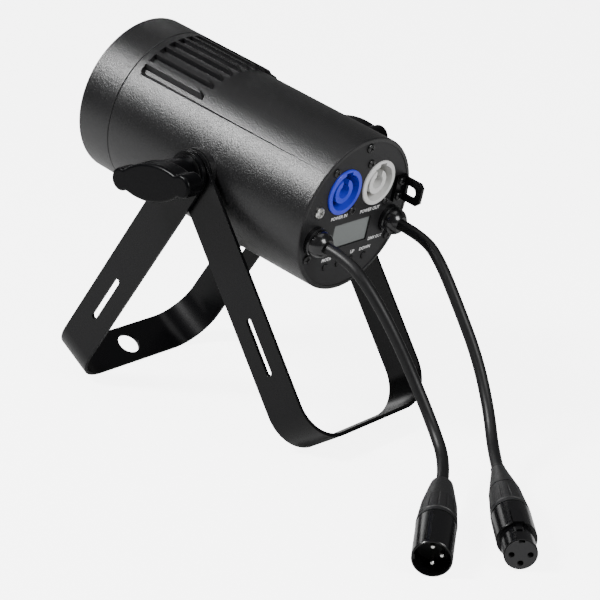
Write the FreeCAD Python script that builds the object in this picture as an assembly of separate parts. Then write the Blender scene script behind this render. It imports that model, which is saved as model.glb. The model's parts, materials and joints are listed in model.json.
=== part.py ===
import FreeCAD, Part
import math
import os

os.makedirs("parts", exist_ok=True)

# Frame: mm, +Z up, lens towards -Y, connectors towards +Y, origin under the middle of the stand.
# "Left" is +X, the side of the power inlet, as seen by someone reading the rear panel.
TILT = 13.4              # barrel tilt, lens upwards
AXIS_DROP = 1.2          # barrel axis below the pivot line
SHELL_R = 41.35          # rear radius of the die-cast barrel
TAPER = 2.35             # the front is this much larger in radius
WALL = 2.2
FRONT_Y = 87.0           # pivot to front rim
HOOD_LEN = 22.8          # front rim to the joint of hood and barrel
SLOT_START = 4.7         # that joint to the front ends of the cooling slots
RIB_FLAT_Y = 22.7
RIB_END_Y = 18.3
PANEL_Y = 69.2           # pivot to the outer face of the rear panel
RIM_LIP = 0.3            # the barrel's rear rim stands this much beyond the panel
RIB_PITCH = 6.2
RIB_THICK = 1.8
RIB_COUNT = 10
BAR_WIDTH = 23.0         # stand made of flat bar
BAR_THICK = 2.0
OUTER_REACH = 158.5      # pivot to the outside of the cross bar
REACH_STEP = 9.5         # the inner yoke's cross bar is this much nearer the pivot
OUTER_ANGLE = 36.6       # from straight down, towards the lens side
BEND_R = 22.0
STUD_R = 4.0
RUN_FIT = 0.05           # running clearance of the pivot holes, on radius
SOCKET_X = 13.1
SOCKET_Z = 15.1
SOCKET_R = 12.0
GLAND_OUT = 9.3
CABLE_R = 3.0
PANEL_THICK = 2.0
PANEL_FIT = 0.1          # panel edge to the barrel's bore
LEDGE_DEPTH = 13.15      # top of the barrel down to the ledges beside the slots
SEAT_INSET = 0.35        # the hood's spigot is this much smaller than the barrel
SCREW_INSET = 2.95       # bore to the panel's screw circle
BOLT_INSET = 2.5         # bore to the heat sink's screw circle
BOSS_OUT = 3.55          # pivot bosses beyond the barrel's side
GLAND_INSET = 10.05      # panel edge to the glands
EYE_INSET = 4.05         # panel edge to the safety eye
GROUND_INSET = 9.25      # panel edge to the earth screw
SOCKET_WALL = 2.4
BORE_R = SHELL_R - WALL
PANEL_R = BORE_R - PANEL_FIT
PANEL_BACK = PANEL_Y - PANEL_THICK
FRONT_R = SHELL_R + TAPER
SEAM_Y = FRONT_Y - HOOD_LEN
SLOT_Y = SEAM_Y - SLOT_START
RIM_Y = PANEL_Y + RIM_LIP
INNER_REACH = OUTER_REACH - REACH_STEP
LEDGE_Z = SHELL_R - LEDGE_DEPTH
SCREW_CIRCLE = BORE_R - SCREW_INSET
BOLT_CIRCLE = BORE_R - BOLT_INSET
BOSS_X = SHELL_R + BOSS_OUT
WASHER_THICK = 0.6
GAP = 0.3
INNER_FACE = BOSS_X + WASHER_THICK + GAP
INNER_WIDTH = 2 * (INNER_FACE + BAR_THICK)
OUTER_WIDTH = INNER_WIDTH + 2 * (WASHER_THICK + GAP + BAR_THICK)
KNOB_X = OUTER_WIDTH / 2 + GAP

X = FreeCAD.Vector(1, 0, 0)
Y = FreeCAD.Vector(0, 1, 0)
Z = FreeCAD.Vector(0, 0, 1)
O = FreeCAD.Vector(0, 0, 0)


def corner_drop(reach, angle):
    a = math.radians(angle)
    return reach * math.cos(a) + BAR_WIDTH / 2 * math.sin(a)


def corner_out(reach, angle):
    a = math.radians(angle)
    return reach * math.sin(a) + BAR_WIDTH / 2 * math.cos(a)


# Both cross bars stand on their lower edges, so the inner angle follows from the outer one.
HINGE_Z = corner_drop(OUTER_REACH, OUTER_ANGLE)
lean = math.degrees(math.atan(BAR_WIDTH / 2 / INNER_REACH))
INNER_ANGLE = lean + math.degrees(math.acos(HINGE_Z / math.hypot(INNER_REACH, BAR_WIDTH / 2)))
tilt = math.radians(TILT)
front_top = FRONT_Y * math.cos(tilt) + (FRONT_R + AXIS_DROP) * math.sin(tilt)
eye_out = PANEL_Y + 13.5
eye_far = eye_out * math.cos(tilt) + (13.3 - AXIS_DROP) * math.sin(tilt)
front_extent = max(corner_out(OUTER_REACH, OUTER_ANGLE), front_top)
rear_extent = max(corner_out(INNER_REACH, INNER_ANGLE), eye_far)
HINGE_Y = (front_extent - rear_extent) / 2


def vec(x, y, z):
    return FreeCAD.Vector(x, y, z)


def box(x0, x1, y0, y1, z0, z1):
    return Part.makeBox(x1 - x0, y1 - y0, z1 - z0, vec(x0, y0, z0))


def rod(r, y0, y1, x=0.0, z=0.0):
    return Part.makeCylinder(r, y1 - y0, vec(x, y0, z), Y)


def pipe(r_out, r_in, y0, y1, x=0.0, z=0.0):
    return rod(r_out, y0, y1, x, z).cut(rod(r_in, y0 - 1, y1 + 1, x, z))


def rod_x(r, x0, x1, y=0.0, z=0.0):
    return Part.makeCylinder(r, x1 - x0, vec(x0, y, z), X)


def turned(profile):
    """A solid of revolution about the Y axis from (radius, y) corners."""
    points = [vec(r, y, 0) for r, y in profile]
    wire = Part.makePolygon(points + [points[0]])
    return Part.Face(wire).revolve(O, Y, 360)


def spin(shape, angle):
    """Turn a copy of the shape about the Y axis."""
    turned_copy = shape.copy()
    turned_copy.rotate(O, Y, angle)
    return turned_copy


def mirrored(shape):
    return shape.mirror(O, X)


def join(shapes):
    first = shapes[0]
    if len(shapes) > 1:
        first = first.fuse(shapes[1:])
    return first.removeSplitter()


def in_barrel(shape):
    """From the barrel's own frame, axis along Y, to the frame of the part."""
    placed = shape.copy()
    placed.translate(vec(0, 0, -AXIS_DROP))
    placed.rotate(O, X, -TILT)
    placed.translate(vec(0, HINGE_Y, HINGE_Z))
    return placed


def at_pivot(shape, angle=0.0):
    placed = shape.copy()
    placed.rotate(O, X, angle)
    placed.translate(vec(0, HINGE_Y, HINGE_Z))
    return placed


def save(name, shape):
    shape.exportStep("parts/" + name + ".step")


def save_set(name, solids):
    save(name, Part.makeCompound(solids))


def screw(x, z, y_face, head_r, head_h, shank_r, shank_len):
    """A pan head screw with a cross recess, head on the rear side of y_face."""
    top = y_face + head_h
    body = rod(head_r, y_face, top, x, z)
    rim = max(body.Edges, key=lambda e: e.CenterOfMass.y if e.Length > head_r * 6 else -1e9)
    body = body.makeFillet(head_h * 0.45, [rim])
    body = body.fuse(rod(shank_r, y_face - shank_len, y_face, x, z))
    arm = head_r * 0.62
    slot = head_r * 0.16
    for a, b in ((arm, slot), (slot, arm)):
        body = body.cut(box(x - a, x + a, top - head_h * 0.6, top + 1, z - b, z + b))
    return body.removeSplitter()


# ---- barrel casting: cone below, narrower roof above a ledge, ribs over the slots ----
POST_ANGLES = (0, 120, 240)
SEAT_R = SHELL_R - SEAT_INSET
outer = turned([
    (0, -SEAM_Y), (FRONT_R - 0.4, -SEAM_Y), (FRONT_R, -SEAM_Y + 0.4), (FRONT_R, -SLOT_Y),
    (SHELL_R + 0.1, RIM_Y - 1.0), (SHELL_R - 0.2, RIM_Y - 0.3), (SHELL_R - 0.9, RIM_Y), (0, RIM_Y),
])
roof = box(-2 * SHELL_R, 2 * SHELL_R, -SLOT_Y, PANEL_Y + 30, LEDGE_Z, 2 * SHELL_R)
front_edges = [e for e in roof.Edges if abs(e.CenterOfMass.y + SLOT_Y) < 1e-6]
lower_edges = [e for e in front_edges if abs(e.CenterOfMass.z - LEDGE_Z) < 1e-6]
roof = roof.makeFillet(3.0, lower_edges)
roof = roof.cut(rod(SHELL_R, -SLOT_Y - 1, PANEL_Y + 31))
shell = outer.cut(roof)
for i in range(RIB_COUNT):
    x = (i - (RIB_COUNT - 1) / 2) * RIB_PITCH
    crest = math.sqrt(FRONT_R ** 2 - x ** 2)
    foot = math.sqrt(SHELL_R ** 2 - x ** 2)
    inside = foot - 1.2
    y_far = -RIB_END_Y
    y_near = -RIB_FLAT_Y
    start = -SLOT_Y - 0.5
    side = Part.Wire([
        Part.makeLine(vec(0, start, inside), vec(0, start, crest + 2)),
        Part.makeLine(vec(0, start, crest + 2), vec(0, y_near, crest + 2)),
        Part.makeLine(vec(0, y_near, crest + 2), vec(0, y_near, crest)),
        Part.Arc(vec(0, y_near, crest), vec(0, (y_near * 0.3 + y_far * 0.7), (crest * 0.62 + foot * 0.38)),
                 vec(0, y_far, foot)).toShape(),
        Part.makeLine(vec(0, y_far, foot), vec(0, y_far, inside)),
        Part.makeLine(vec(0, y_far, inside), vec(0, start, inside)),
    ])
    rib = Part.Face(side).extrude(vec(RIB_THICK, 0, 0))
    rib.translate(vec(x - RIB_THICK / 2, 0, 0))
    shell = shell.fuse(rib.common(rod(FRONT_R, -SLOT_Y - 1, 0)))
for sign in (1, -1):
    shell = shell.fuse(rod_x(12.0, min(sign * 32, sign * BOSS_X), max(sign * 32, sign * BOSS_X), 0, AXIS_DROP))
bosses = rod_x(12.0, -BOSS_X, BOSS_X, 0, AXIS_DROP)
bosses = bosses.cut(rod_x(20.0, -33, 33, 0, AXIS_DROP))
hollow = rod(BORE_R, -SEAM_Y - 1, RIM_Y + 1)
hollow = hollow.fuse(rod(SEAT_R, -SEAM_Y - 1, -SEAM_Y + 3.5))
shell = shell.cut(hollow.cut(bosses))
shell = shell.fuse(pipe(BORE_R + 0.5, BOLT_CIRCLE - 2.65, -12, -9))
for angle in POST_ANGLES:
    post = rod(SCREW_INSET + 0.45, PANEL_BACK - 17.2, PANEL_BACK, 0, SCREW_CIRCLE)
    post = post.cut(rod(1.5, PANEL_BACK - 12.2, RIM_Y + 10, 0, SCREW_CIRCLE))
    shell = shell.fuse(spin(post, angle))
for angle in POST_ANGLES:
    shell = shell.cut(spin(rod(1.5, PANEL_BACK - 12.2, RIM_Y + 10, 0, SCREW_CIRCLE), angle))
    shell = shell.cut(spin(rod(1.5, -13, -9.5, 0, BOLT_CIRCLE), angle))
shell = shell.cut(rod_x(STUD_R + RUN_FIT, -2 * SHELL_R, 2 * SHELL_R, 0, AXIS_DROP)).removeSplitter()
save("barrel_shell", in_barrel(shell))

# ---- front hood with the lens seat, spigoted into the barrel ----
IN_R = FRONT_R - 2.5
SPIGOT_Y = -SEAM_Y + 3.5
hood = turned([
    (IN_R, -FRONT_Y), (FRONT_R - 0.8, -FRONT_Y), (FRONT_R, -FRONT_Y + 0.8), (FRONT_R, -SEAM_Y - 0.4),
    (FRONT_R - 0.4, -SEAM_Y), (SEAT_R, -SEAM_Y), (SEAT_R, SPIGOT_Y), (IN_R - 2.7, SPIGOT_Y),
    (IN_R - 2.7, -SEAM_Y - 1.8), (IN_R - 5.2, -SEAM_Y - 1.8), (IN_R - 5.2, -SEAM_Y - 5.8),
    (IN_R, -SEAM_Y - 5.8),
])
save("front_hood", in_barrel(hood))

SEAT_Y = -SEAM_Y - 5.8
gasket = turned([
    (IN_R - 0.3, SEAT_Y - 1.2), (IN_R - 0.3, SEAT_Y), (IN_R - 4.7, SEAT_Y), (IN_R - 4.7, SEAT_Y - 1.2),
])
save("lens_gasket", in_barrel(gasket))
LENS_Y = SEAT_Y - 1.2
CAP_R = IN_R - 4.4
CAP_H = 5.7
BALL_R = (CAP_R ** 2 + CAP_H ** 2) / (2 * CAP_H)
ball = Part.makeSphere(BALL_R, vec(0, LENS_Y - 3.5 - CAP_H + BALL_R, 0))
dome = ball.common(rod(CAP_R, LENS_Y - 12.0, LENS_Y - 3.5))
save("front_lens", in_barrel(join([rod(IN_R - 0.3, LENS_Y - 3.5, LENS_Y), dome])))
ring_y = LENS_Y - 3.5
ring = turned([
    (IN_R, ring_y), (IN_R, ring_y - 2.4), (IN_R - 2.6, ring_y - 2.4), (IN_R - 4.0, ring_y - 1.2),
    (IN_R - 4.0, ring_y),
])
save("lens_ring", in_barrel(ring))

# ---- light engine: deep reflector, LED board and finned heat sink on the barrel's shoulder ----
CUP_R = IN_R - 6.2
CUP_Y0 = -17.6
CUP_Y1 = -SEAM_Y - 1.8
inner_side = []
outer_side = []
for i in range(9):
    t = i / 8
    r = 8.0 + (CUP_R - 8.0) * t
    y = CUP_Y0 + (CUP_Y1 - CUP_Y0) * (0.35 * t + 0.65 * t * t)
    inner_side.append((r, y))
    outer_side.append((r + 1.2, y))
outer_side[-1] = (CUP_R + 1.2, CUP_Y1 + 1.2)
lip = [(IN_R - 2.9, CUP_Y1 + 1.2), (IN_R - 2.9, CUP_Y1)]
save("reflector", in_barrel(turned(inner_side[::-1] + outer_side + lip)))
board = rod(15.0, -17.6, -16.0)
save("led_board", in_barrel(board))
chip = rod(6.0, -18.8, -17.6).fuse(Part.makeSphere(8.0, vec(0, -13.5, 0)).common(rod(6.0, -24.0, -18.8)))
save("led_emitter", in_barrel(chip.removeSplitter()))
SINK_R = BORE_R - 0.2
sink = rod(SINK_R, -16.0, -12.0).fuse(rod(11.0, -12.0, 12.0))
for i in range(20):
    fin = box(10.0, 30.5, -12.0, 12.0, -0.8, 0.8)
    sink = sink.fuse(spin(fin, 18 * i + 9))
for angle in POST_ANGLES:
    sink = sink.cut(spin(rod(1.5, -17, -11, 0, BOLT_CIRCLE), angle))
save("heat_sink", in_barrel(sink.removeSplitter()))
bolts = []
for angle in POST_ANGLES:
    bolt = rod(2.3, -18.0, -16.0, 0, BOLT_CIRCLE).fuse(rod(1.5, -16.0, -9.5, 0, BOLT_CIRCLE))
    bolts.append(in_barrel(spin(bolt.removeSplitter(), angle)))
save_set("heat_sink_screws", bolts)

# ---- driver board on three standoffs, power supply board plugged into its back ----
standoffs = []
for angle in (60, 180, 300):
    standoffs.append(in_barrel(spin(rod(2.0, -9.0, 24.0, 0, BOLT_CIRCLE - 0.05), angle)))
save_set("board_standoffs", standoffs)
save("driver_board", in_barrel(rod(BORE_R - 0.6, 24.0, 25.6)))
chips = [
    box(-8, 8, 25.6, 28.6, 6, 20), rod(4, 25.6, 38, -22, 6), rod(4, 25.6, 38, -22, 17),
    box(14, 26, 25.6, 33, 6, 18), box(-14, 14, 25.6, 32, -31, -24),
]
save_set("driver_components", [in_barrel(c) for c in chips])
save("supply_board", in_barrel(box(-18, 18, 25.6, 55, -19.6, -18.0)))
chips = [
    box(-15, 1, 32, 48, -18.0, -4.0), box(5, 15, 42, 52, -18.0, -10.0),
    Part.makeCylinder(5.0, 14.0, vec(10, 34, -18.0), Z),
]
save_set("supply_components", [in_barrel(c) for c in chips])

# ---- rear panel with its openings ----
GLAND_X = PANEL_R - GLAND_INSET
GLAND_Z = -8.0
GLAND_THREAD_R = 5.2
EYE_X = PANEL_R - EYE_INSET
GROUND = (PANEL_R - GROUND_INSET, 7.25)
WINDOW = (-14.0, 14.0, -17.0, -3.6)
BUTTONS = (("mode", 15.0), ("enter", 5.0), ("up", -5.0), ("down", -15.0))
BUTTON_Z = -26.2
EYE_SCREWS = (4.9, 13.3)
eye_screw_x = -EYE_X + 4.7
IN0 = PANEL_BACK - 7.2    # every hole starts behind the panel and ends beyond it
IN1 = PANEL_Y + 10.8
SOCKET_SCREW = (SOCKET_R - 2.5, SOCKET_R)
panel = rod(PANEL_R, PANEL_BACK, PANEL_Y)
holes = [rod(SOCKET_R + 0.1, IN0, IN1, s * SOCKET_X, SOCKET_Z) for s in (1, -1)]
holes += [rod(GLAND_THREAD_R, IN0, IN1, s * GLAND_X, GLAND_Z) for s in (1, -1)]
holes += [spin(rod(1.5, IN0, IN1, 0, SCREW_CIRCLE), angle) for angle in POST_ANGLES]
holes += [rod(2.1, IN0, IN1, x, BUTTON_Z) for name, x in BUTTONS]
holes += [rod(1.25, IN0, IN1, eye_screw_x, z) for z in EYE_SCREWS]
holes.append(rod(2.0, IN0, IN1, GROUND[0], GROUND[1]))
holes.append(box(WINDOW[0], WINDOW[1], IN0, IN1, WINDOW[2], WINDOW[3]))
socket_screw_spots = []
for x in (SOCKET_X, -SOCKET_X):
    for turn in (1, -1):
        socket_screw_spots.append((x + turn * SOCKET_SCREW[0], SOCKET_Z + turn * SOCKET_SCREW[1]))
holes += [rod(1.5, IN0, IN1, x, z) for x, z in socket_screw_spots]
for hole in holes:
    panel = panel.cut(hole)
save("rear_panel", in_barrel(panel))
panel_screw = screw(0, SCREW_CIRCLE, PANEL_Y, 2.5, 1.0, 1.5, 12)
save_set("panel_screws", [in_barrel(spin(panel_screw, angle)) for angle in POST_ANGLES])
save_set("socket_screws", [in_barrel(screw(x, z, PANEL_Y, 2.3, 1.0, 1.5, 5)) for x, z in socket_screw_spots])
save("ground_screw", in_barrel(screw(GROUND[0], GROUND[1], PANEL_Y, 3.0, 1.6, 2.0, 9)))


SOCKET_FACE = PANEL_Y + 1.0
SOCKET_FLOOR = SOCKET_FACE - 18.0
CORE_R = SOCKET_R - SOCKET_WALL - 3.3


def socket(x):
    """Round locking mains socket: rim and flange behind the panel, keyed round recess."""
    high = SOCKET_R + 2.5
    flange = box(x - SOCKET_R, x + SOCKET_R, PANEL_BACK - 2, PANEL_BACK, SOCKET_Z - high, SOCKET_Z + high)
    flange = flange.makeFillet(5.0, [e for e in flange.Edges if abs(e.tangentAt(e.FirstParameter).y) > 0.9])
    rim = rod(SOCKET_R, PANEL_BACK, SOCKET_FACE, x, SOCKET_Z)
    edge = max(rim.Edges, key=lambda e: e.CenterOfMass.y if e.Length > 40 else -1e9)
    back = rod(SOCKET_R - 0.1, SOCKET_FLOOR - 5, PANEL_BACK - 1, x, SOCKET_Z)
    body = join([flange, rim.makeFillet(0.5, [edge]), back])
    recess = SOCKET_R - SOCKET_WALL
    body = body.cut(rod(recess, SOCKET_FLOOR, SOCKET_FACE + 1, x, SOCKET_Z))
    keyway = (SOCKET_Z + recess - 1.1, SOCKET_Z + recess + 1.2)
    body = body.cut(box(x - 2.4, x + 2.4, SOCKET_FLOOR + 6, SOCKET_FACE + 1, keyway[0], keyway[1]))
    for turn in (1, -1):
        body = body.cut(rod(1.5, IN0, IN1, x + turn * SOCKET_SCREW[0], SOCKET_Z + turn * SOCKET_SCREW[1]))
    return body.removeSplitter()


def core(x):
    """C shaped contact carrier standing on the floor of the socket's recess."""
    sleeve = pipe(CORE_R, CORE_R - 2.7, SOCKET_FLOOR, SOCKET_FACE - 1.2, x, SOCKET_Z)
    return sleeve.cut(box(x - 2.0, x + 2.0, SOCKET_FLOOR - 1, SOCKET_FACE + 1, SOCKET_Z, SOCKET_Z + CORE_R + 1.7))


def contacts(x):
    """Three spring blades standing in the recess around the core."""
    blades = []
    for angle in (60, 180, 300):
        blade = spin(box(-1.6, 1.6, SOCKET_FLOOR, SOCKET_FLOOR + 9.8, CORE_R + 0.7, CORE_R + 1.9), angle)
        blade.translate(vec(x, 0, SOCKET_Z))
        blades.append(in_barrel(blade))
    return blades


save("power_inlet", in_barrel(socket(SOCKET_X)))
save("power_outlet", in_barrel(socket(-SOCKET_X)))
save("power_inlet_core", in_barrel(core(SOCKET_X)))
save("power_outlet_core", in_barrel(core(-SOCKET_X)))
save_set("socket_contacts", contacts(SOCKET_X) + contacts(-SOCKET_X))

# ---- display, its board and the four push buttons ----
module = box(-13.7, 13.7, PANEL_BACK - 5.6, PANEL_Y - 1.6, WINDOW[2] + 0.3, WINDOW[3] - 0.3)
save("display_module", in_barrel(module))
pane = box(-13.7, 13.7, PANEL_Y - 1.6, PANEL_Y - 0.7, WINDOW[2] + 0.3, WINDOW[3] - 0.3)
save("display_window", in_barrel(pane))
save("display_board", in_barrel(box(-20, 20, PANEL_BACK - 7.2, PANEL_BACK - 5.6, -30.5, -2.0)))
switches = []
for name, x in BUTTONS:
    switch = box(x - 3, x + 3, PANEL_BACK - 5.6, PANEL_BACK - 2.1, BUTTON_Z - 3, BUTTON_Z + 3)
    switches.append(in_barrel(switch))
save_set("button_switches", switches)
for name, x in BUTTONS:
    cap = rod(1.75, PANEL_BACK - 1.2, PANEL_Y + 0.6, x, BUTTON_Z)
    crown = max(cap.Edges, key=lambda e: e.CenterOfMass.y if e.Length > 8 else -1e9)
    cap = cap.makeFillet(0.4, [crown]).fuse(rod(2.8, PANEL_BACK - 1.2, PANEL_BACK - 0.3, x, BUTTON_Z))
    save("button_" + name, in_barrel(cap.removeSplitter()))

# ---- cable glands and their nuts ----
nuts = []
for side, s in (("left", 1), ("right", -1)):
    top = PANEL_Y + GLAND_OUT
    dome = Part.Arc(vec(7.2, PANEL_Y + 2.9, 0), vec(6.5, PANEL_Y + 6.6, 0), vec(4.3, top, 0)).toShape()
    corners = [(4.3, top), (0, top), (0, PANEL_Y - 9), (GLAND_THREAD_R, PANEL_Y - 9), (GLAND_THREAD_R, PANEL_Y),
               (7.6, PANEL_Y), (7.6, PANEL_Y + 2.2), (7.2, PANEL_Y + 2.9)]
    edges = [Part.makeLine(vec(a[0], a[1], 0), vec(b[0], b[1], 0)) for a, b in zip(corners, corners[1:])]
    base = Part.Face(Part.Wire(Part.__sortEdges__(edges + [dome]))).revolve(O, Y, 360)
    base.translate(vec(s * GLAND_X, 0, GLAND_Z))
    save("gland_" + side, in_barrel(base))
    turns = [math.radians(60 * i) for i in range(7)]
    corners = [vec(6.9 * math.cos(turn), 0, 6.9 * math.sin(turn)) for turn in turns]
    nut = Part.Face(Part.makePolygon(corners)).extrude(vec(0, 4, 0))
    nut.translate(vec(s * GLAND_X, PANEL_BACK - 4, GLAND_Z))
    nuts.append(in_barrel(nut.cut(rod(GLAND_THREAD_R, IN0, IN1, s * GLAND_X, GLAND_Z))))
save_set("gland_nuts", nuts)

# ---- safety eye: bent plate screwed to the panel, D shaped hole ----
foot = box(-EYE_X, -EYE_X + 8.0, PANEL_Y, PANEL_Y + 2.0, 2.2, 16.0)
plate = box(-EYE_X, -EYE_X + 2.0, PANEL_Y, eye_out, 2.7, 15.3)
across = [e for e in plate.Edges if abs(e.tangentAt(e.FirstParameter).x) > 0.9]
plate = plate.makeChamfer(2.0, [e for e in across if abs(e.CenterOfMass.y - eye_out) < 1e-6])
d_hole = box(-EYE_X - 5, -EYE_X + 5, PANEL_Y + 3.8, PANEL_Y + 7.3, 6.1, 11.5)
d_hole = d_hole.fuse(rod_x(2.7, -EYE_X - 5, -EYE_X + 5, PANEL_Y + 7.3, 8.8))
eye = foot.fuse(plate).cut(d_hole)
for z in EYE_SCREWS:
    eye = eye.cut(rod(1.25, IN0, IN1, eye_screw_x, z))
save("safety_eye", in_barrel(eye.removeSplitter()))
eye_screws = [screw(eye_screw_x, z, PANEL_Y + 2.0, 2.2, 1.0, 1.25, 6) for z in EYE_SCREWS]
save_set("eye_screws", [in_barrel(s) for s in eye_screws])


# ---- stand: two U shaped yokes of flat bar on one pivot line ----
def yoke(width, reach, cross_hole_r):
    half = width / 2
    inner = half - BAR_THICK
    w = BAR_WIDTH / 2
    solid = box(-half, half, -w, w, -reach, 20)
    across = [e for e in solid.Edges if abs(e.tangentAt(e.FirstParameter).y) > 0.9]
    solid = solid.makeFillet(BEND_R, [e for e in across if abs(e.CenterOfMass.z + reach) < 1e-6])
    void = box(-inner, inner, -w - 1, w + 1, -reach + BAR_THICK, 21)
    across = [e for e in void.Edges if abs(e.tangentAt(e.FirstParameter).y) > 0.9]
    low_edges = [e for e in across if abs(e.CenterOfMass.z + reach - BAR_THICK) < 1e-6]
    solid = solid.cut(void.makeFillet(BEND_R - BAR_THICK, low_edges))
    head = rod_x(w, -half - 1, half + 1).fuse(box(-half - 1, half + 1, -w - 1, w + 1, -reach - 1, 0))
    solid = solid.common(head)
    solid = solid.cut(rod_x(STUD_R + RUN_FIT, -half - 1, half + 1))
    top = -0.535 * reach
    low = -0.715 * reach
    slot = box(-half - 1, half + 1, -1.8, 1.8, low, top)
    slot = slot.fuse([rod_x(1.8, -half - 1, half + 1, 0, top), rod_x(1.8, -half - 1, half + 1, 0, low)])
    solid = solid.cut(slot)
    if cross_hole_r:
        solid = solid.cut(Part.makeCylinder(cross_hole_r, 10, vec(0, 0, -reach - 4), Z))
    return solid.removeSplitter()


save("outer_yoke", at_pivot(yoke(OUTER_WIDTH, OUTER_REACH, 6.5), -OUTER_ANGLE))
save("inner_yoke", at_pivot(yoke(INNER_WIDTH, INNER_REACH, 0.0), INNER_ANGLE))


def washer(r_out, x0, x1, bore):
    return rod_x(r_out, x0, x1).cut(rod_x(bore, x0 - 1, x1 + 1))


w0 = INNER_WIDTH / 2
pair = [washer(10.5, w0, w0 + WASHER_THICK, STUD_R + RUN_FIT)]
save_set("yoke_washers", [at_pivot(p) for p in pair + [mirrored(p) for p in pair]])
pair = [washer(11.0, BOSS_X, BOSS_X + WASHER_THICK, STUD_R + RUN_FIT)]
save_set("barrel_washers", [at_pivot(p) for p in pair + [mirrored(p) for p in pair]])


# ---- wing knobs on threaded studs ----
def knob():
    lobe = 26.6
    notch = vec(0, 17.9, 5.25)
    corners = [(1, 1), (1, -1), (-1, -1), (-1, 1)]
    p = [vec(0, sy * notch.y, sz * notch.z) for sy, sz in corners]
    rim = Part.Wire([
        Part.Arc(p[3], vec(0, 0, 9.8), p[0]).toShape(),
        Part.Arc(p[0], vec(0, lobe, 0), p[1]).toShape(),
        Part.Arc(p[1], vec(0, 0, -9.8), p[2]).toShape(),
        Part.Arc(p[2], vec(0, -lobe, 0), p[3]).toShape(),
    ])
    wing = Part.Face(rim).extrude(vec(11, 0, 0))
    wing = wing.makeFillet(2.5, [e for e in wing.Edges if abs(e.tangentAt(e.FirstParameter).x) > 0.9])
    wing = wing.makeFillet(1.6, [e for e in wing.Edges if abs(e.tangentAt(e.FirstParameter).x) < 0.5])
    wing.translate(vec(KNOB_X + 15.0, 0, 0))
    hub = Part.makeCone(8.6, 9.6, 15.5, vec(KNOB_X + 1.0, 0, 0), X)
    body = wing.fuse(hub)
    body.rotate(O, X, 5.7)
    return body.cut(rod_x(STUD_R, KNOB_X, KNOB_X + 9)).removeSplitter()


for side, s in (("left", 1), ("right", -1)):
    pieces = {
        "knob_": knob(),
        "knob_washer_": washer(10.0, KNOB_X, KNOB_X + 1.0, STUD_R),
        "pivot_stud_": rod_x(STUD_R, 34.6, KNOB_X + 9).fuse(Part.makeCone(3.4, STUD_R, 0.6, vec(34.0, 0, 0), X)),
    }
    for name, shape in pieces.items():
        save(name + side, at_pivot(shape if s > 0 else mirrored(shape)))


# ---- cables: straight runs joined by tangent arcs, from the gland to the boot ----
gland_exit = in_barrel(Part.Vertex(0, PANEL_Y + GLAND_OUT, GLAND_Z)).Point
leave = vec(0, math.cos(tilt), -math.sin(tilt))
LEFT_ROUTE = [
    (29.4, 97.7, 96.5), (26.1, 112.1, 76.1), (21.1, 124.6, 49.9),
    (22.7, 139.0, 28.9), (32.3, 153.0, 18.9), (48.3, 163.5, 16.7),
]
RIGHT_ROUTE = [
    (-26.5, 101.5, 94.0), (-24.1, 115.4, 75.0), (-22.7, 129.9, 51.5),
    (-15.4, 143.5, 29.6), (-1.7, 156.8, 16.2), (12.0, 169.5, 14.7),
]


def route(sign, rows, first_run):
    """Corner points; heights stretch with the gland's height, the run into the plug keeps its own."""
    start = vec(sign * GLAND_X, gland_exit.y, gland_exit.z)
    low = rows[-2][2]
    stretch = (gland_exit.z - low) / (107.0 - low)
    push = gland_exit.y - HINGE_Y - 74.2
    points = [start, start + leave * first_run]
    for x, y, z in rows:
        points.append(vec(x, y + HINGE_Y + push, low + (z - low) * stretch if z > low else z))
    return points


def tube(name, points, r):
    """Sweep a round cord along the rounded corners; prints the radii and the length."""
    edges = []
    radii = []
    here = points[0]
    for i in range(1, len(points) - 1):
        a = (points[i - 1] - points[i]).normalize()
        b = (points[i + 1] - points[i]).normalize()
        half_turn = (math.pi - a.getAngle(b)) / 2
        shorter = min(points[i].distanceToPoint(points[i - 1]), points[i].distanceToPoint(points[i + 1]))
        back = 0.45 * shorter
        radius = back / math.tan(half_turn)
        radii.append(round(radius, 1))
        start = points[i] + a * back
        end = points[i] + b * back
        middle = points[i] + (a + b).normalize() * (radius / math.cos(half_turn) - radius)
        edges.append(Part.LineSegment(here, start).toShape())
        edges.append(Part.Arc(start, middle, end).toShape())
        here = end
    edges.append(Part.LineSegment(here, points[-1]).toShape())
    spine = Part.Wire(edges)
    direction = (points[1] - points[0]).normalize()
    ring = Part.Wire([Part.makeCircle(r, points[0], direction)])
    solid = spine.makePipeShell([ring], True, False)
    area = math.pi * r * r
    print(name, "bend radii", radii, "length", round(spine.Length, 1))
    print(name, "volume over section", round(solid.Volume / area, 1))
    save(name, solid)
    return points[-1], (points[-2] - points[-1]).normalize()


left_end, left_back = tube("cable_left", route(1, LEFT_ROUTE, 11.4), CABLE_R)
right_end, right_back = tube("cable_right", route(-1, RIGHT_ROUTE, 15.6), CABLE_R)


def on_plug(shape, end, ahead, length):
    """From a frame with the plug's mouth at y=0 and its boot end at y=length, top towards +Z."""
    placed = shape.copy()
    placed.translate(vec(0, -length, 0))
    back = ahead * -1
    flat = math.hypot(back.x, back.y)
    placed.rotate(O, X, math.degrees(math.atan2(back.z, flat)))
    placed.rotate(O, Z, math.degrees(math.atan2(-back.x, back.y)))
    placed.translate(end)
    return placed


# The plugs lie on the floor, mouth first, in line with the last run of their cable.
MALE_LEN = 64.8
FEMALE_LEN = 79.6
male_ahead = vec(0.8298, 0.5459, -0.1161)
female_ahead = vec(0.7291, 0.6791, -0.0796)
PIN_CIRCLE = 4.2


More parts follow.
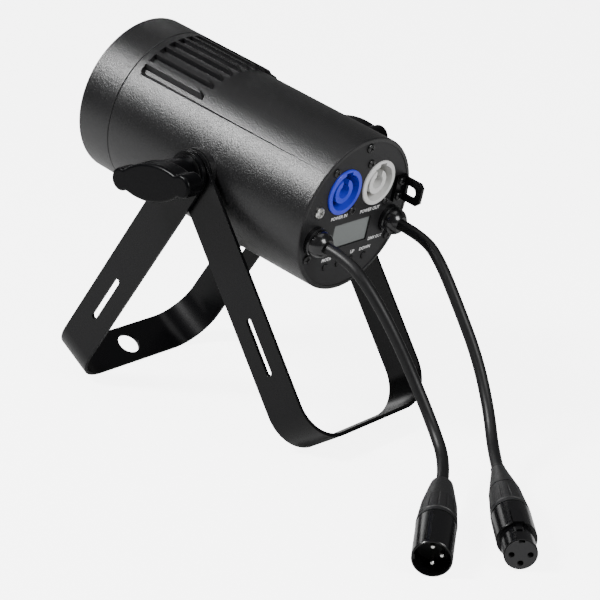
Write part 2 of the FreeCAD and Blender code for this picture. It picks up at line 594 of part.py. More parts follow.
def boot(y0, y1, r0, r_tip, groove_y):
    """Rubber bend relief: lip, fluted taper, rounded tip round the cable, ring grooves."""
    tip_y = y1 - 4.0
    body = turned([
        (0, y0), (r0, y0), (r0, y0 + 2.0), (r0 - 0.5, y0 + 2.3), (r0 - 0.5, y0 + 3.0), (r0 - 0.15, y0 + 3.4),
        (r0 - 0.3 * (r0 - r_tip), y0 + 0.5 * (tip_y - y0)), (r_tip, tip_y), (r_tip - 0.35, tip_y + 1.6),
        (r_tip * 0.3 + CABLE_R * 0.7 + 0.3, y1 - 0.6), (CABLE_R + 0.3, y1), (0, y1),
    ])
    for i in range(14):
        flute = Part.makeCone(0.8, 0.45, (y1 - y0) * 0.4, vec(r0 + 0.25, y0 + 4.5, 0), vec(-0.085, 1, 0))
        body = body.cut(spin(flute, 360 / 14 * (i + 0.5)))
    if groove_y:
        body = body.cut(pipe(12, r0 - 0.62 * (r0 - r_tip) - 0.75, groove_y, groove_y + 1.0))
    return body


MALE_STEP = 26.8
male_shell = turned([
    (8.4, 0), (8.9, 0), (9.2, 0.4), (9.35, MALE_STEP - 0.8), (8.9, MALE_STEP), (6.0, MALE_STEP),
    (6.0, 15.5), (8.4, 15.5),
])
key = spin(box(-1.2, 1.2, 1.0, 15.5, 7.6, 8.8).common(rod(8.6, 0, 16)), 270)
male_shell = join([male_shell, key])
male_insert = rod(8.4, 12.5, 15.5).fuse(rod(6.0, 15.5, MALE_STEP))
male_insert = male_insert.cut(spin(box(-1.3, 1.3, 12, 15.5, 7.5, 9), 270))
pins = []
for angle in (270, 0, 90):
    pin = spin(rod(1.2, 3.0, 18.0, PIN_CIRCLE, 0), angle)
    point = max(pin.Edges, key=lambda e: -e.CenterOfMass.y if e.Length > 6 else -1e9)
    male_insert = male_insert.cut(pin)
    pins.append(on_plug(pin.makeFillet(1.0, [point]), left_end, male_ahead, MALE_LEN))
save("male_shell", on_plug(male_shell, left_end, male_ahead, MALE_LEN))
save("male_insert", on_plug(male_insert.removeSplitter(), left_end, male_ahead, MALE_LEN))
save_set("male_pins", pins)
save("male_boot", on_plug(boot(MALE_STEP, MALE_LEN, 9.5, 5.7, 0), left_end, male_ahead, MALE_LEN))

FEMALE_STEP = 33.5
female_shell = turned([
    (7.1, 0.6), (7.7, 0.6), (7.7, 12.7), (9.0, 12.7), (9.3, 13.1), (9.3, FEMALE_STEP - 1.2), (8.9, FEMALE_STEP),
    (6.0, FEMALE_STEP), (6.0, 16.7), (7.1, 16.7),
])
female_shell = female_shell.cut(box(-2.6, 2.6, 7.7, 23.7, 6.6, 10))
female_insert = rod(7.1, 0.0, 16.7).fuse(rod(6.0, 16.7, FEMALE_STEP)).cut(box(-1.4, 1.4, -1, 12.7, 5.8, 8))
female_insert = female_insert.cut(box(-2.6, 2.6, 12.7, 23.7, 6.6, 10))
for angle in (0, 90, 180):
    female_insert = female_insert.cut(spin(rod(1.4, -1.0, 13.0, PIN_CIRCLE, 0), angle))
latch = box(-2.4, 2.4, 12.7, 23.5, 6.6, 9.6).fuse(box(-1.3, 1.3, 8.1, 12.7, 6.6, 8.3))
save("female_shell", on_plug(female_shell, right_end, female_ahead, FEMALE_LEN))
save("female_insert", on_plug(female_insert.removeSplitter(), right_end, female_ahead, FEMALE_LEN))
save("female_latch", on_plug(latch.removeSplitter(), right_end, female_ahead, FEMALE_LEN))
save("female_boot", on_plug(boot(FEMALE_STEP, FEMALE_LEN, 9.2, 3.9, 54.8), right_end, female_ahead, FEMALE_LEN))

print("pivot at y", round(HINGE_Y, 3), "z", round(HINGE_Z, 3), "inner angle", round(INNER_ANGLE, 2))
print("widths", round(INNER_WIDTH, 2), round(OUTER_WIDTH, 2), "gland exit", [round(c, 2) for c in gland_exit])
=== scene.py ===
import json
import math

import bmesh
import bpy
from mathutils import Matrix, Vector


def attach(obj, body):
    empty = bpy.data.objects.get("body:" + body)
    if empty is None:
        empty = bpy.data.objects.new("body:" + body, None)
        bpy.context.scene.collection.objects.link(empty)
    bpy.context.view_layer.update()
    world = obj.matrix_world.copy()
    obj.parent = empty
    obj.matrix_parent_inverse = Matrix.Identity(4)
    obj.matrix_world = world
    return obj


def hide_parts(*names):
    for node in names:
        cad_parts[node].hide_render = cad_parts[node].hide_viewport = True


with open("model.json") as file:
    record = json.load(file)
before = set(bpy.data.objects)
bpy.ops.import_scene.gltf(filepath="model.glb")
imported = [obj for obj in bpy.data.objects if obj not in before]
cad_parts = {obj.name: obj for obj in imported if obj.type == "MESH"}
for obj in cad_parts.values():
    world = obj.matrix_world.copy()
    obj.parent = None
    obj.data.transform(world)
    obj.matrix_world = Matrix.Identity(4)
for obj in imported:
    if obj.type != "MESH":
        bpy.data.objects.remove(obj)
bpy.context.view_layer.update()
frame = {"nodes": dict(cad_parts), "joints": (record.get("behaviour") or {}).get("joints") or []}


# ---- Studio ----------------------------------------------------------------
# A sheet of white paper for a floor and four soft boxes: a small key at the side
# for the long sheen on the barrel, one overhead, and fills behind and in front.
def linear(text):
    """An sRGB hex colour as the linear RGBA that a shader takes."""
    parts = [int(text[i:i + 2], 16) / 255 for i in (1, 3, 5)]
    return [c / 12.92 if c <= 0.04045 else ((c + 0.055) / 1.055) ** 2.4 for c in parts] + [1.0]


def add(tree, kind, values=None, links=None, **settings):
    """Add one node, set its properties and unlinked sockets, and link the rest."""
    node = tree.nodes.new(kind)
    for key, value in settings.items():
        setattr(node, key, value)
    for key, value in (values or {}).items():
        node.inputs[key].default_value = value
    for key, source in (links or {}).items():
        tree.links.new(source, node.inputs[key])
    return node


def new_material(name):
    """An empty node tree with an output, as (material, tree, output node)."""
    material = bpy.data.materials.new(name)
    material.use_nodes = True
    material.node_tree.nodes.clear()
    return material, material.node_tree, add(material.node_tree, "ShaderNodeOutputMaterial")


def finish_shader(tree, output, shader):
    """Link the shader to the material's output."""
    tree.links.new(shader.outputs["BSDF"], output.inputs["Surface"])


SEEN_FLOOR_GLOW = 5.5
SEEN_AIR, LIGHTING_AIR = 6.0, 0.15


def paper_floor():
    """Uncoated white paper, which glows for camera rays only, so the lamp gets no light from the glow."""
    material, tree, output = new_material("matt_white_paper")
    where = add(tree, "ShaderNodeTexCoord")
    fibre = add(tree, "ShaderNodeTexNoise", {"Scale": 900.0, "Detail": 2.0},
                {"Vector": where.outputs["Object"]})
    bump = add(tree, "ShaderNodeBump", {"Strength": 0.05, "Distance": 0.0002},
               {"Height": fibre.outputs["Fac"]})
    seen = add(tree, "ShaderNodeLightPath")
    glow = add(tree, "ShaderNodeMapRange", {"To Max": SEEN_FLOOR_GLOW},
               {"Value": seen.outputs["Is Camera Ray"]})
    shader = add(tree, "ShaderNodeBsdfPrincipled",
                 {"Base Color": linear("#b4b4b4"), "Roughness": 0.95, "Specular IOR Level": 0.1,
                  "Emission Color": linear("#ffffff")},
                 {"Normal": bump.outputs["Normal"], "Emission Strength": glow.outputs["Result"]})
    finish_shader(tree, output, shader)
    mesh = bpy.data.meshes.new("floor")
    half = 6.0
    corners = [(-half, -half, 0), (half, -half, 0), (half, half, 0), (-half, half, 0)]
    mesh.from_pydata(corners, [], [(0, 1, 2, 3)])
    floor = bpy.data.objects.new("floor", mesh)
    bpy.context.collection.objects.link(floor)
    mesh.materials.append(material)


def soft_box(name, place, aim, side, watts):
    """A square area light (side in metres) turned towards the point it lights."""
    data = bpy.data.lights.new(name, "AREA")
    data.shape = "RECTANGLE"
    data.size = side
    data.size_y = side
    data.energy = watts
    lamp = bpy.data.objects.new(name, data)
    bpy.context.collection.objects.link(lamp)
    lamp.location = place
    lamp.rotation_euler = (Vector(aim) - Vector(place)).to_track_quat("-Z", "Y").to_euler()


paper_floor()
world = bpy.data.worlds.new("studio_air")
world.use_nodes = True
air = world.node_tree.nodes["Background"]
air.inputs["Color"].default_value = linear("#ffffff")
seen = add(world.node_tree, "ShaderNodeLightPath")
level_of_air = add(world.node_tree, "ShaderNodeMapRange", {"To Min": LIGHTING_AIR, "To Max": SEEN_AIR},
                   {"Value": seen.outputs["Is Camera Ray"]})
world.node_tree.links.new(level_of_air.outputs["Result"], air.inputs["Strength"])
bpy.context.scene.world = world
soft_box("side_key", (0.72, -0.34, 0.94), (0, 0, 0.14), 0.28, 30.0)
soft_box("overhead", (-0.1, 0.2, 1.6), (0, 0, 0.0), 1.0, 5.0)
soft_box("rear_fill", (0.15, 1.3, 0.85), (0, 0.05, 0.12), 0.6, 20.0)
soft_box("front_fill", (-0.75, -1.25, 0.55), (0, -0.05, 0.13), 0.7, 5.0)


# ---- Camera ----------------------------------------------------------------
# It stands behind the lamp on its left side, a little above it, turned by a
# degree and a half. Its angles and distance come from a separate fit.
PIVOT = Vector(frame["joints"][0]["pos_m"])
FROM_PIVOT = Vector((0.71965, 0.64681, 0.24619))
azimuth = math.radians(130.474)
elevation = math.radians(18.487)
roll = math.radians(1.544)
flat = math.cos(elevation)
back = Vector((math.sin(azimuth) * flat, -math.cos(azimuth) * flat, math.sin(elevation)))
level = Vector((math.cos(azimuth), math.sin(azimuth), 0))
over = back.cross(level)
right = level * math.cos(roll) + over * math.sin(roll)
up = back.cross(right)
camera = bpy.data.objects.new("camera", bpy.data.cameras.new("camera"))
bpy.context.collection.objects.link(camera)
camera.data.lens = 116.12
camera.data.sensor_width = 36.0
camera.data.clip_start = 0.05
turn = Matrix((right, up, back)).transposed()
camera.matrix_world = Matrix.Translation(PIVOT + FROM_PIVOT) @ turn.to_4x4()
bpy.context.scene.camera = camera


# ---- Signal cable tails ----------------------------------------------------
# Two round 6 mm PVC jacketed cables leave the panel through their glands, hang
# down and lie on the floor behind the lamp. Each is one smooth run to its plug.
nodes = frame["nodes"]
MM = 0.001


def jacket_pvc():
    """Extruded soft PVC: dull black, with the faint lengthwise ripple of the die."""
    material, tree, output = new_material("extruded_pvc_jacket")
    where = add(tree, "ShaderNodeTexCoord")
    ripple = add(tree, "ShaderNodeTexNoise", {"Scale": 600.0, "Detail": 3.0},
                 {"Vector": where.outputs["Object"]})
    gloss = add(tree, "ShaderNodeMapRange", {"To Min": 0.38, "To Max": 0.52},
                {"Value": ripple.outputs["Fac"]})
    bump = add(tree, "ShaderNodeBump", {"Strength": 0.12, "Distance": 0.0001},
               {"Height": ripple.outputs["Fac"]})
    shader = add(tree, "ShaderNodeBsdfPrincipled",
                 {"Base Color": linear("#0a0a0b"), "IOR": 1.5, "Specular IOR Level": 0.25},
                 {"Roughness": gloss.outputs["Result"], "Normal": bump.outputs["Normal"]})
    finish_shader(tree, output, shader)
    return material


# Corner points of each run, in metres. They come from a separate fit, not from a rule in this script.
LEFT_POINTS = [
    (0.0290, 0.0832, 0.1070), (0.0290, 0.0943, 0.1043), (0.0294, 0.1067, 0.0965),
    (0.0261, 0.1211, 0.0761),
    (0.0211, 0.1336, 0.0499), (0.0227, 0.1480, 0.0289), (0.0323, 0.1620, 0.0189),
    (0.0483, 0.1725, 0.0167),
]
RIGHT_POINTS = [
    (-0.0290, 0.0832, 0.1070), (-0.0290, 0.0984, 0.1033), (-0.0265, 0.1105, 0.0940),
    (-0.0241, 0.1244, 0.0750),
    (-0.0227, 0.1389, 0.0515), (-0.0154, 0.1525, 0.0296), (-0.0017, 0.1658, 0.0162),
    (0.0120, 0.1785, 0.0147),
]
jacket = jacket_pvc()
for side, points, length, plug in (
    ("left", LEFT_POINTS, 0.143, ("male_boot", "male_shell", "male_insert", "male_pins")),
    ("right", RIGHT_POINTS, 0.150, ("female_boot", "female_shell", "female_insert", "female_latch")),
):
    curve = bpy.data.curves.new("tail_" + side, "CURVE")
    curve.dimensions = "3D"
    line = curve.splines.new("NURBS")
    line.points.add(len(points) - 1)
    for knot, place in zip(line.points, points):
        knot.co = (*place, 1.0)
    line.order_u = 3
    line.use_endpoint_u = True
    line.resolution_u = 12
    curve.bevel_depth = 3.0 * MM
    curve.bevel_resolution = 6
    curve.use_fill_caps = True
    curve.materials.append(jacket)
    tail = bpy.data.objects.new("cable_tail_" + side, curve)
    bpy.context.collection.objects.link(tail)
    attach(tail, "barrel")
    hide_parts("cable_" + side)


# ---- Barrel casting and front hood -----------------------------------------
# Pressure die-cast aluminium, powder coated black with a fine orange-peel grain.
# The coat's real grain is about 0.3 mm; it is drawn at 0.9 mm so that it shows.
def powder_coat(name, colour, grain, rough, relief, spread=0.07, specular=0.3):
    """Baked powder paint over metal: dull sheen broken up by the coat's grain (grain in mm)."""
    material, tree, output = new_material(name)
    where = add(tree, "ShaderNodeTexCoord")
    fine = add(tree, "ShaderNodeTexNoise", {"Scale": 1000.0 / grain, "Detail": 3.0, "Roughness": 0.8},
               {"Vector": where.outputs["Object"]})
    broad = add(tree, "ShaderNodeTexNoise", {"Scale": 25.0, "Detail": 1.0},
                {"Vector": where.outputs["Object"]})
    mix = add(tree, "ShaderNodeMath", links={0: fine.outputs["Fac"], 1: broad.outputs["Fac"]},
              operation="ADD")
    gloss = add(tree, "ShaderNodeMapRange",
                {"From Min": 0.6, "From Max": 1.4, "To Min": rough - spread, "To Max": rough + spread},
                {"Value": mix.outputs["Value"]})
    bump = add(tree, "ShaderNodeBump", {"Strength": relief, "Distance": 0.0002},
               {"Height": fine.outputs["Fac"]})
    shader = add(tree, "ShaderNodeBsdfPrincipled",
                 {"Base Color": linear(colour), "IOR": 1.5, "Specular IOR Level": specular},
                 {"Roughness": gloss.outputs["Result"], "Normal": bump.outputs["Normal"]})
    finish_shader(tree, output, shader)
    return material


# Broad soft sheen along the barrel, broken up by fine grain.
barrel_coat = powder_coat("textured_black_powder_coat", "#0c0c0d", 0.9, 0.32, 0.8,
                          spread=0.04, specular=0.46)


def round_about(face, corners, axes):
    """The axis (point, direction) that the face is turned about, with its facing, or None."""
    for point, along in axes:
        arm = face.center - point
        radial = arm - along * arm.dot(along)
        if radial.length < 0.001:
            continue
        facing = face.normal.dot(radial.normalized())
        slope = face.normal.dot(along)
        if abs(facing) < 0.98 * math.sqrt(max(0.0, 1 - slope * slope)) or abs(facing) < 0.3:
            continue
        spread = []
        for corner in corners:
            reach = corner - point
            height = reach.dot(along)
            spread.append((reach - along * height).length + slope / facing * height)
        if max(spread) - min(spread) < 0.2 * MM:
            return point, along, facing
    return None


def smooth_by_area(mesh, axes, widest=50):
    """Loop normals: true ones on turned surfaces; elsewhere large faces stay flat and edges blend."""
    places = [v.co.copy() for v in mesh.vertices]
    meeting = [[] for v in places]
    for face in mesh.polygons:
        turned = round_about(face, [places[i] for i in face.vertices], axes)
        for i in face.vertices:
            ideal = face.normal.copy()
            if turned:
                point, along, facing = turned
                reach = places[i] - point
                radial = (reach - along * reach.dot(along)).normalized()
                slope = face.normal.dot(along)
                side = math.copysign(math.sqrt(max(0.0, 1 - slope * slope)), facing)
                ideal = radial * side + along * slope
            meeting[i].append((face.normal.copy(), ideal * face.area))
    nearest = math.cos(math.radians(widest))
    loops = []
    for face in mesh.polygons:
        for i in face.vertices:
            total = Vector((0, 0, 0))
            for normal, ideal in meeting[i]:
                if normal.dot(face.normal) > nearest:
                    total += ideal
            loops.append(total.normalized() if total.length > 0 else face.normal.copy())
    mesh.normals_split_custom_set(loops)


def settled(draft):
    """The mesh that a draft object's modifiers or lettering make, with the draft removed."""
    bpy.context.view_layer.update()
    mesh = bpy.data.meshes.new_from_object(draft.evaluated_get(bpy.context.evaluated_depsgraph_get()))
    bpy.data.objects.remove(draft)
    return mesh


def eased(name, radius, body, finish, axes=(), split=30):
    """A CAD piece again, its sharp edges rounded (radius in mm) as casting and coating leave them."""
    mesh = nodes[name].data.copy()
    shape = bmesh.new()
    shape.from_mesh(mesh)
    bmesh.ops.remove_doubles(shape, verts=shape.verts, dist=0.00002)
    bmesh.ops.dissolve_limit(shape, angle_limit=math.radians(0.3), verts=shape.verts, edges=shape.edges)
    for face in shape.faces:
        face.smooth = True
    shape.to_mesh(mesh)
    shape.free()
    draft = bpy.data.objects.new(name + "_draft", mesh)
    bpy.context.collection.objects.link(draft)
    rounding = draft.modifiers.new("edge_rounding", "BEVEL")
    rounding.width = radius * MM
    rounding.segments = 2
    rounding.limit_method = "ANGLE"
    rounding.angle_limit = math.radians(split)
    rounding.use_clamp_overlap = True
    finished = settled(draft)
    finished.materials.clear()
    finished.materials.append(finish)
    smooth_by_area(finished, axes)
    piece = bpy.data.objects.new(name + "_finished", finished)
    bpy.context.collection.objects.link(piece)
    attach(piece, body)
    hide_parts(name)


TILT = math.radians(13.4)
AXIS_DROP = 1.2 * MM
IN_BARREL = (Matrix.Translation(PIVOT) @ Matrix.Rotation(-TILT, 4, "X")
             @ Matrix.Translation((0, 0, -AXIS_DROP)))
BARREL_AXIS = (IN_BARREL.translation, Vector((0, math.cos(TILT), -math.sin(TILT))))
PIVOT_AXIS = (PIVOT, Vector((1, 0, 0)))
eased("barrel_shell", 0.5, "barrel", barrel_coat, axes=(BARREL_AXIS, PIVOT_AXIS))
eased("front_hood", 0.4, "barrel", barrel_coat, axes=(BARREL_AXIS,))


# ---- Front lens, its seal and its ring -------------------------------------
# A pressed borosilicate lens sits on a moulded rubber seal inside the hood, and
# a painted ring holds it there.
def dress(material, *names):
    """Give CAD pieces their finish in their own material slots."""
    for name in names:
        for slot in nodes[name].material_slots:
            slot.material = material


def moulded(name, colour, rough, grain=0.8, relief=0.12, coat=0.0, specular=0.35):
    """Injection moulded plastic or rubber: even colour, spark-eroded mould grain (grain in mm)."""
    material, tree, output = new_material(name)
    where = add(tree, "ShaderNodeTexCoord")
    spark = add(tree, "ShaderNodeTexNoise", {"Scale": 1000.0 / grain, "Detail": 2.0},
                {"Vector": where.outputs["Object"]})
    gloss = add(tree, "ShaderNodeMapRange",
                {"From Min": 0.3, "From Max": 0.7, "To Min": rough * 0.85, "To Max": min(1.0, rough * 1.15)},
                {"Value": spark.outputs["Fac"]})
    bump = add(tree, "ShaderNodeBump", {"Strength": relief, "Distance": 0.00008},
               {"Height": spark.outputs["Fac"]})
    shader = add(tree, "ShaderNodeBsdfPrincipled",
                 {"Base Color": linear(colour), "IOR": 1.5, "Specular IOR Level": specular,
                  "Coat Weight": coat, "Coat Roughness": 0.12},
                 {"Roughness": gloss.outputs["Result"], "Normal": bump.outputs["Normal"]})
    finish_shader(tree, output, shader)
    return material


def lens_glass():
    """Pressed clear glass: smooth, with the faint ripple of the press."""
    material, tree, output = new_material("pressed_clear_glass")
    where = add(tree, "ShaderNodeTexCoord")
    ripple = add(tree, "ShaderNodeTexNoise", {"Scale": 90.0, "Detail": 1.0},
                 {"Vector": where.outputs["Object"]})
    bump = add(tree, "ShaderNodeBump", {"Strength": 0.05, "Distance": 0.0002},
               {"Height": ripple.outputs["Fac"]})
    shader = add(tree, "ShaderNodeBsdfPrincipled",
                 {"Base Color": linear("#f6fafa"), "Roughness": 0.03, "IOR": 1.47,
                  "Transmission Weight": 1.0},
                 {"Normal": bump.outputs["Normal"]})
    finish_shader(tree, output, shader)
    return material


# Clear and wet looking lens, dull seal, satin ring.
dress(lens_glass(), "front_lens")
dress(moulded("moulded_black_seal_rubber", "#161616", 0.7), "lens_gasket")
dress(powder_coat("satin_black_ring_paint", "#141414", 0.5, 0.35, 0.2), "lens_ring")


# ---- Light engine ----------------------------------------------------------
# Spun and brightened aluminium reflector, a white-masked metal core LED board
# and a cast aluminium heat sink screwed to the barrel's inner shoulder.
def metal(name, colour, rough, plated=0.0, facets=0.0):
    """Bare or plated metal: plated gives the clouds of zinc, facets the dimples of a peened mirror."""
    material, tree, output = new_material(name)
    where = add(tree, "ShaderNodeTexCoord")
    cloud = add(tree, "ShaderNodeTexNoise", {"Scale": 260.0, "Detail": 4.0},
                {"Vector": where.outputs["Object"]})
    gloss = add(tree, "ShaderNodeMapRange", {"To Min": rough * 0.7, "To Max": rough * 1.3},
                {"Value": cloud.outputs["Fac"]})
    cells = add(tree, "ShaderNodeTexVoronoi", {"Scale": 330.0}, {"Vector": where.outputs["Object"]})
    peened = add(tree, "ShaderNodeBump", {"Strength": facets, "Distance": 0.0006},
                 {"Height": cells.outputs["Distance"]})
    bump = add(tree, "ShaderNodeBump", {"Strength": 0.05 + plated, "Distance": 0.00005},
               {"Height": cloud.outputs["Fac"], "Normal": peened.outputs["Normal"]})
    shader = add(tree, "ShaderNodeBsdfPrincipled", {"Base Color": linear(colour), "Metallic": 1.0},
                 {"Roughness": gloss.outputs["Result"], "Normal": bump.outputs["Normal"]})
    finish_shader(tree, output, shader)
    return material


# Dimpled mirror, flat white board, yellow phosphor dome, dull grey casting.
dress(metal("spun_bright_aluminium", "#e6e6e4", 0.12, facets=0.5), "reflector")
dress(moulded("white_solder_mask", "#e9e8e2", 0.35), "led_board")
dress(moulded("phosphor_silicone_dome", "#e8c53a", 0.18, coat=1.0), "led_emitter")
dress(metal("plain_cast_aluminium", "#a9abad", 0.45, plated=0.2), "heat_sink")


# ---- Electronics -----------------------------------------------------------
# Glass-epoxy boards with green solder mask stand on brass standoffs. Parts
# moulded in epoxy are soldered to them, and brass contacts sit in the sockets.
# Glossy green lacquer, matt black packages, warm yellow brass.
dress(moulded("green_solder_mask", "#12512b", 0.3, coat=0.5),
      "driver_board", "supply_board", "display_board")
dress(moulded("moulded_component_epoxy", "#181819", 0.5),
      "driver_components", "supply_components", "button_switches")
dress(metal("drawn_brass", "#c9a55a", 0.3), "board_standoffs", "socket_contacts")


# ---- Rear panel ------------------------------------------------------------
# Laser cut 2 mm steel sheet, held to the barrel by pan head screws, which also
# hold the sockets, the safety eye and the earth point to it.
# Satin powder coat, a shade lighter than the barrel and with a finer grain.
dress(powder_coat("satin_grey_panel_coat", "#19191a", 0.45, 0.45, 0.25), "rear_panel")


def screw_tree():
    """Pan head screw with a cross recess, set on every point, each turned to its own angle."""
    tree = bpy.data.node_groups.new("pan_head_screws", "GeometryNodeTree")
    tree.interface.new_socket("Geometry", in_out="INPUT", socket_type="NodeSocketGeometry")
    for title in ("Head Radius", "Head Height", "Shank Radius", "Shank Length"):
        tree.interface.new_socket(title, in_out="INPUT", socket_type="NodeSocketFloat")
    tree.interface.new_socket("Seat", in_out="INPUT", socket_type="NodeSocketVector")
    tree.interface.new_socket("Finish", in_out="INPUT", socket_type="NodeSocketMaterial")
    tree.interface.new_socket("Geometry", in_out="OUTPUT", socket_type="NodeSocketGeometry")
    given = add(tree, "NodeGroupInput").outputs

    def times(source, factor):
        node = add(tree, "ShaderNodeMath", {1: factor}, {0: source}, operation="MULTIPLY")
        return node.outputs["Value"]

    def raised(mesh, height):
        lift = add(tree, "ShaderNodeCombineXYZ", links={"Z": height})
        moved = add(tree, "GeometryNodeTransform",
                    links={"Geometry": mesh, "Translation": lift.outputs["Vector"]})
        return moved.outputs["Geometry"]

    layers = []
    for low, high, wide, narrow in ((0.0, 0.5, 1.0, 1.0), (0.5, 0.82, 1.0, 0.9), (0.82, 1.0, 0.9, 0.68)):
        disc = add(tree, "GeometryNodeMeshCone", {"Vertices": 32},
                   {"Radius Top": times(given["Head Radius"], narrow),
                    "Radius Bottom": times(given["Head Radius"], wide),
                    "Depth": times(given["Head Height"], high - low)})
        layers.append(raised(disc.outputs["Mesh"], times(given["Head Height"], low)))
    shank = add(tree, "GeometryNodeMeshCone", {"Vertices": 20},
                {"Radius Top": given["Shank Radius"], "Radius Bottom": times(given["Shank Radius"], 0.8),
                 "Depth": given["Shank Length"]})
    layers.append(raised(shank.outputs["Mesh"], times(given["Shank Length"], -0.999)))
    solid = add(tree, "GeometryNodeMeshBoolean", operation="UNION")
    for layer in layers:
        tree.links.new(layer, solid.inputs["Mesh 2"])
    cross = add(tree, "GeometryNodeMeshBoolean", operation="DIFFERENCE",
                links={"Mesh 1": solid.outputs["Mesh"]})
    for across, along in ((1.24, 0.3), (0.3, 1.24)):
        size = add(tree, "ShaderNodeCombineXYZ",
                   links={"X": times(given["Head Radius"], across), "Y": times(given["Head Radius"], along),
                          "Z": times(given["Head Height"], 1.2)})
        arm = add(tree, "GeometryNodeMeshCube", links={"Size": size.outputs["Vector"]})
        tree.links.new(raised(arm.outputs["Mesh"], given["Head Height"]), cross.inputs["Mesh 2"])
    own = add(tree, "FunctionNodeRandomValue", {"Min": 0.0, "Max": 1.5, "Seed": 4}, data_type="FLOAT")
    about = add(tree, "ShaderNodeCombineXYZ", links={"Z": own.outputs[1]})
    turn = add(tree, "FunctionNodeEulerToRotation", links={"Euler": about.outputs["Vector"]})
    seat = add(tree, "FunctionNodeEulerToRotation", links={"Euler": given["Seat"]})
    facing = add(tree, "FunctionNodeRotateRotation", rotation_space="LOCAL",
                 links={"Rotation": seat.outputs["Rotation"], "Rotate By": turn.outputs["Rotation"]})
    placed = add(tree, "GeometryNodeInstanceOnPoints",
                 links={"Points": given["Geometry"], "Instance": cross.outputs["Mesh"],
                        "Rotation": facing.outputs["Rotation"]})
    real = add(tree, "GeometryNodeRealizeInstances", links={"Geometry": placed.outputs["Instances"]})
    coated = add(tree, "GeometryNodeSetMaterial",
                 links={"Geometry": real.outputs["Geometry"], "Material": given["Finish"]})
    add(tree, "NodeGroupOutput", links={"Geometry": coated.outputs["Geometry"]})
    return tree


def set_screws(name, tree, places, values, finish, stands_for):
    """Screws at places in the barrel's frame, in mm: head radius and height, shank radius and length."""
    mesh = bpy.data.meshes.new(name + "_places")
    mesh.from_pydata([IN_BARREL @ (Vector(place) * MM) for place in places], [], [])
    draft = bpy.data.objects.new(name + "_draft", mesh)
    bpy.context.collection.objects.link(draft)
    maker = draft.modifiers.new("screws", "NODES")
    maker.node_group = tree
    titles = ("Head Radius", "Head Height", "Shank Radius", "Shank Length")
    given = dict(zip(titles, (v * MM for v in values)))
    given["Seat"] = (-math.pi / 2 - TILT, 0.0, 0.0)
    given["Finish"] = finish
    for item in tree.interface.items_tree:
        if item.in_out == "INPUT" and item.name in given:
            maker[item.identifier] = given[item.name]
    made = settled(draft)
    piece = bpy.data.objects.new(name, made)
    bpy.context.collection.objects.link(piece)
    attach(piece, "barrel")
    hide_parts(stands_for)


PANEL_FACE = 69.2
RIM_CIRCLE = 36.2
# Oily blue-black steel for most screws, cloudy bright zinc for the earth screw.
black_screw = powder_coat("black_oxide_screw_steel", "#0b0b0c", 0.5, 0.28, 0.1, specular=0.5)
bright_screw = metal("bright_zinc_plate", "#d9d9d6", 0.28, plated=0.25)
screws = screw_tree()
rim = [(RIM_CIRCLE * math.sin(math.radians(a)), PANEL_FACE, RIM_CIRCLE * math.cos(math.radians(a)))
       for a in (0, 120, 240)]
set_screws("panel_screw_set", screws, rim, (2.5, 1.0, 1.5, 11.5), black_screw, "panel_screws")
beside = [(x + turn * 9.5, PANEL_FACE, 15.1 + turn * 12.0) for x in (13.1, -13.1) for turn in (1, -1)]
set_screws("socket_screw_set", screws, beside, (2.3, 1.0, 1.5, 4.8), black_screw,
           "socket_screws")
on_eye = [(-30.3, PANEL_FACE + 2.0, z) for z in (4.9, 13.3)]
set_screws("eye_screw_set", screws, on_eye, (2.2, 1.0, 1.25, 5.8), black_screw, "eye_screws")
earth = [(29.8, PANEL_FACE, 7.25)]
set_screws("earth_screw", screws, earth, (3.0, 1.6, 2.0, 8.8), bright_screw, "ground_screw")
dress(black_screw, "heat_sink_screws")


# ---- Power sockets ---------------------------------------------------------
# Glass-filled polyamide, moulded blue for the inlet and light grey for the outlet.
# Each has a round housing with a C shaped core, and two screws hold it.
# Clean saturated plastic with a soft shine.
dress(moulded("moulded_blue_polyamide", "#2e38c8", 0.35, grain=0.5, coat=0.2),
      "power_inlet", "power_inlet_core")
dress(moulded("moulded_light_grey_polyamide", "#d2d2d0", 0.4, grain=0.5, coat=0.2),
      "power_outlet", "power_outlet_core")


# ---- Screen printed labels -------------------------------------------------
# Plain words for what each socket and button does, screen printed in white ink
# that stands a few hundredths of a millimetre proud of the coat.
PRINT_FACE = 69.23
READING = Matrix(((-1, 0, 0, 0), (0, 0, 1, 0), (0, 1, 0, 0), (0, 0, 0, 1)))


def printed(name, words, x, z, size, finish):
    """A line of lettering centred at (x, z) on the panel; size is the type's height, all in mm."""
    text = bpy.data.curves.new(name, "FONT")
    text.body = words
    text.size = size * MM
    text.align_x = "CENTER"
    text.align_y = "CENTER"
    text.resolution_u = 3
    text.extrude = 0.02 * MM
    text.offset = 0.035 * MM
    draft = bpy.data.objects.new(name + "_draft", text)
    bpy.context.collection.objects.link(draft)
    mesh = settled(draft)
    mesh.transform(IN_BARREL @ Matrix.Translation((x * MM, PRINT_FACE * MM, z * MM)) @ READING)
    mesh.materials.clear()
    mesh.materials.append(finish)
    label = bpy.data.objects.new(name, mesh)
    bpy.context.collection.objects.link(label)
    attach(label, "barrel")


# Flat, slightly chalky white.
ink = moulded("white_screen_ink", "#e2e2e2", 0.5, grain=0.4, relief=0.05)
for name, words, x, z, size in (
    ("label_power_in", "POWER IN", 12.5, 0.9, 2.6),
    ("label_power_out", "POWER OUT", -11.5, 0.4, 2.6),
    ("label_signal_out", "DMX OUT", -21.5, -17.3, 2.4),
    ("label_signal_in", "DMX IN", 22.0, -17.3, 2.4),
    ("label_mode", "MODE", 15.0, -22.0, 2.6),
    ("label_enter", "ENTER", 5.0, -22.0, 2.6),
    ("label_up", "UP", -5.0, -22.0, 2.6),
    ("label_down", "DOWN", -15.0, -22.0, 2.6),
):
    printed(name, words, x, z, size, ink)


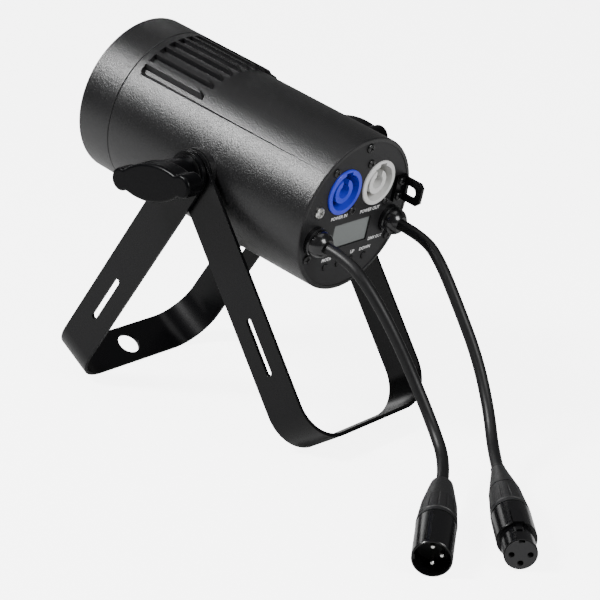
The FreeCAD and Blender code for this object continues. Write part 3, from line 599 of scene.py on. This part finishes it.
# ---- Display and buttons ---------------------------------------------------
# A grey display pane in a moulded frame and four moulded push buttons, which
# come through openings in the panel from the display board behind it.
# Shiny dark frame, smooth grey pane, matt button tops.
dress(moulded("gloss_black_bezel_abs", "#0c0c0d", 0.2, coat=0.3), "display_module")
dress(moulded("grey_display_pane", "#646867", 0.22, grain=2.0, relief=0.02, coat=0.4), "display_window")
dress(moulded("matt_black_button_abs", "#101011", 0.5),
      "button_mode", "button_enter", "button_up", "button_down")


# ---- Glands, safety eye ----------------------------------------------------
# Moulded nylon glands grip the cables, with nuts behind the panel. The safety
# eye is steel with the stand's coat, and two screws hold it.
# Glossy nylon with small sharp highlights.
dress(moulded("gloss_black_nylon", "#0f0f10", 0.22, grain=1.2, relief=0.1, coat=0.4),
      "gland_left", "gland_right", "gland_nuts")
# Even satin black, smoother than the barrel's coat.
stand_coat = powder_coat("satin_black_powder_coat", "#060607", 0.5, 0.28, 0.06, specular=0.18)
eased("safety_eye", 0.4, "barrel", stand_coat)


# ---- Stand -----------------------------------------------------------------
# Two U shaped yokes bent from 23 x 2 mm flat bar and powder coated. They turn
# on one pivot line, with fibre washers between them and the barrel.
eased("outer_yoke", 0.5, "outer_yoke", stand_coat)
eased("inner_yoke", 0.5, "inner_yoke", stand_coat)
# Dull fibre without shine.
dress(moulded("black_friction_fibre", "#191919", 0.6), "yoke_washers", "barrel_washers")


# ---- Knobs -----------------------------------------------------------------
# Moulded nylon wing knobs on threaded steel studs, with a steel washer under
# each, clamp the two yokes to the barrel.
# Very dark nylon with thin highlights on its edges, grey washers, bright threads.
dress(moulded("matt_black_knob_nylon", "#020203", 0.32, grain=0.7, relief=0.12, specular=0.1),
      "knob_left", "knob_right")
dress(metal("blackened_steel_washer", "#3a3a3b", 0.35), "knob_washer_left", "knob_washer_right")
dress(metal("zinc_plated_thread_steel", "#b9b9b6", 0.3), "pivot_stud_left", "pivot_stud_right")


# ---- Plugs -----------------------------------------------------------------
# Die-cast zinc shells with a black chromate finish hold moulded inserts, one
# with three pins and one with a latch. Rubber boots guard the cables' ends.
# Smooth dark shells, duller inserts, silver pins, rubbery boots.
dress(powder_coat("black_chromate_zinc_shell", "#070708", 0.9, 0.2, 0.05),
      "male_shell", "female_shell", "female_latch")
dress(moulded("black_contact_insert", "#0b0b0b", 0.5), "male_insert")
dress(moulded("grey_contact_insert", "#252526", 0.5), "female_insert")
dress(metal("silver_plated_pin", "#e4e4e0", 0.2), "male_pins")
dress(moulded("moulded_boot_rubber", "#0f0f10", 0.5, grain=0.8, relief=0.2), "male_boot", "female_boot")
